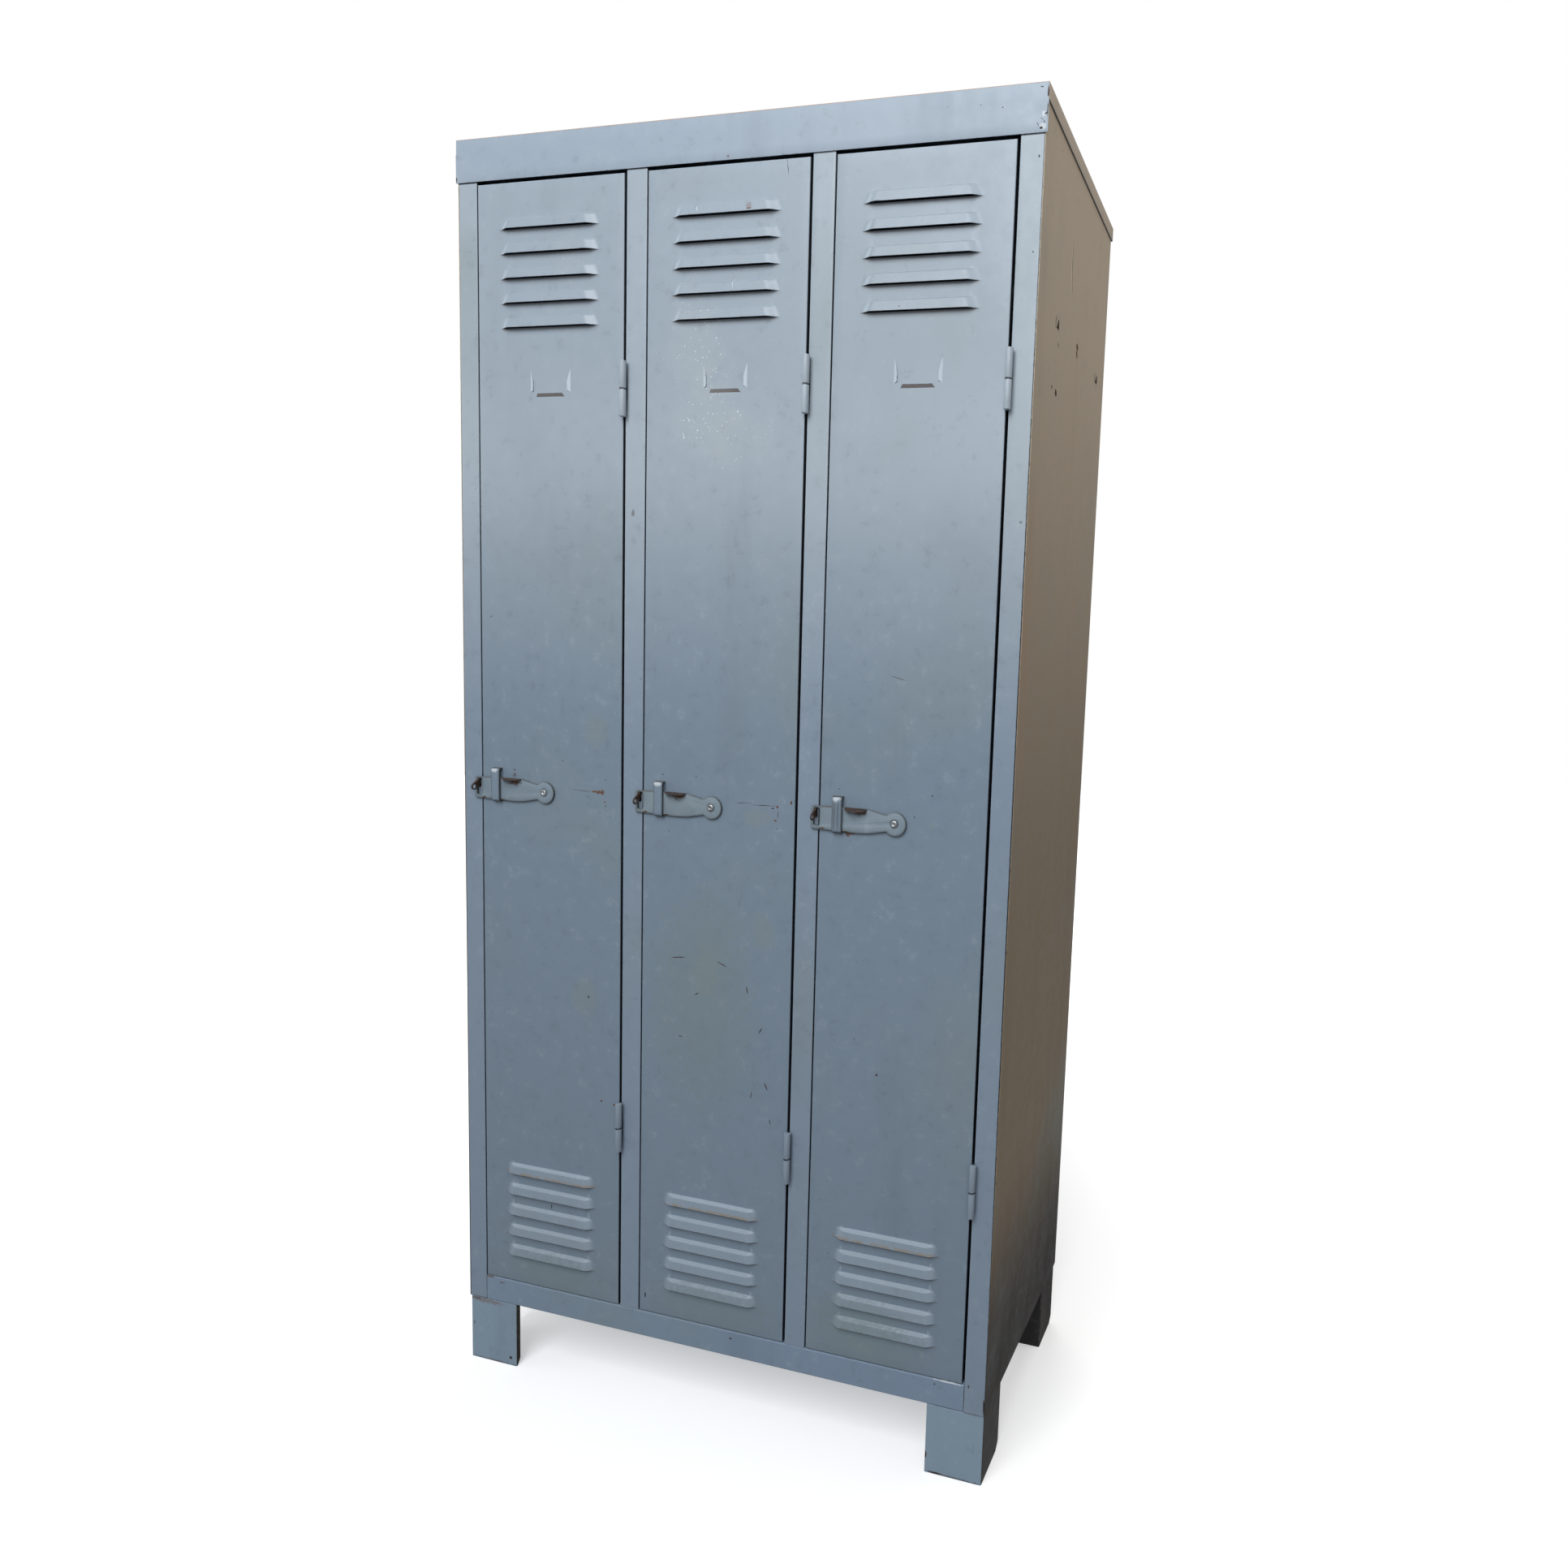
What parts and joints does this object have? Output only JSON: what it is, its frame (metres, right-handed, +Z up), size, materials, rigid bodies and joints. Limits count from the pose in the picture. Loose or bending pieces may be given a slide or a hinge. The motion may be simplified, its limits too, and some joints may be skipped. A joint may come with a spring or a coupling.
{
  "type": "school locker",
  "caption": "Tall sheet-steel locker with hinged louvred doors, gravity latches for padlocks, hat shelves and coat rails, on folded sheet feet.",
  "frame": {"origin": "on the floor, under the centre of the bounding box", "axes": "+Z up, doors face -Y, +X to the right when facing the doors"},
  "size_m": [0.8546, 0.4168, 1.812],
  "materials": {
    "paint": "worn satin blue-grey paint with small rust chips",
    "bare_steel": "dull bare steel",
    "rusted_steel": "dark bare steel with surface rust"
  },
  "bodies": {
    "cabinet": {"roof_cap": "paint", "roof_left_edge": "paint", "roof_right_edge": "paint", "roof_rear_edge": "paint", "left_post": "paint", "right_post": "paint", "left_side_panel": "paint", "right_side_panel": "paint", "back_panel": "paint", "floor_tray": "paint", "mullion_1": "paint", "mullion_2": "paint", "partition_1": "paint", "partition_2": "paint", "front_left_foot": "paint", "front_right_foot": "paint", "rear_left_foot": "paint", "rear_right_foot": "paint", "hat_shelf_1": "paint", "hat_shelf_2": "paint", "hat_shelf_3": "paint", "coat_rail_1": "bare_steel", "coat_rail_2": "bare_steel", "coat_rail_3": "bare_steel", "door_stop_1": "paint", "door_stop_2": "paint", "door_stop_3": "paint", "catch_plate_1": "rusted_steel", "catch_plate_2": "rusted_steel", "catch_plate_3": "rusted_steel", "lower_hinge_1_frame_knuckle": "paint", "lower_hinge_1_pin": "bare_steel", "upper_hinge_1_frame_knuckle": "paint", "upper_hinge_1_pin": "bare_steel", "lower_hinge_2_frame_knuckle": "paint", "lower_hinge_2_pin": "bare_steel", "upper_hinge_2_frame_knuckle": "paint", "upper_hinge_2_pin": "bare_steel", "lower_hinge_3_frame_knuckle": "paint", "lower_hinge_3_pin": "bare_steel", "upper_hinge_3_frame_knuckle": "paint", "upper_hinge_3_pin": "bare_steel"},
    "door_1": {"door_1": "paint", "latch_keeper_1": "paint", "latch_rivet_1": "bare_steel", "lower_hinge_1_door_knuckle": "paint", "upper_hinge_1_door_knuckle": "paint"},
    "latch_arm_1": {"latch_arm_1": "paint"},
    "door_2": {"door_2": "paint", "latch_keeper_2": "paint", "latch_rivet_2": "bare_steel", "lower_hinge_2_door_knuckle": "paint", "upper_hinge_2_door_knuckle": "paint"},
    "latch_arm_2": {"latch_arm_2": "paint"},
    "door_3": {"door_3": "paint", "latch_keeper_3": "paint", "latch_rivet_3": "bare_steel", "lower_hinge_3_door_knuckle": "paint", "upper_hinge_3_door_knuckle": "paint"},
    "latch_arm_3": {"latch_arm_3": "paint"}
  },
  "joints": [
    {"name": "door_1_hinge", "type": "hinge", "parent": "cabinet", "child": "door_1", "pos_m": [-0.152, -0.1981, 0.9485], "axis": [0, 0, 1], "range_deg": [0, 150]},
    {"name": "latch_arm_1_pivot", "type": "hinge", "parent": "door_1", "child": "latch_arm_1", "pos_m": [-0.2825, -0.19415, 0.909], "axis": [0, 1, 0], "range_deg": [0, 5]},
    {"name": "door_2_hinge", "type": "hinge", "parent": "cabinet", "child": "door_2", "pos_m": [0.121, -0.1981, 0.9485], "axis": [0, 0, 1], "range_deg": [0, 150]},
    {"name": "latch_arm_2_pivot", "type": "hinge", "parent": "door_2", "child": "latch_arm_2", "pos_m": [-0.0095, -0.19415, 0.909], "axis": [0, 1, 0], "range_deg": [0, 5]},
    {"name": "door_3_hinge", "type": "hinge", "parent": "cabinet", "child": "door_3", "pos_m": [0.394, -0.1981, 0.9485], "axis": [0, 0, 1], "range_deg": [0, 150]},
    {"name": "latch_arm_3_pivot", "type": "hinge", "parent": "door_3", "child": "latch_arm_3", "pos_m": [0.2635, -0.19415, 0.909], "axis": [0, 1, 0], "range_deg": [0, 5]}
  ]
}
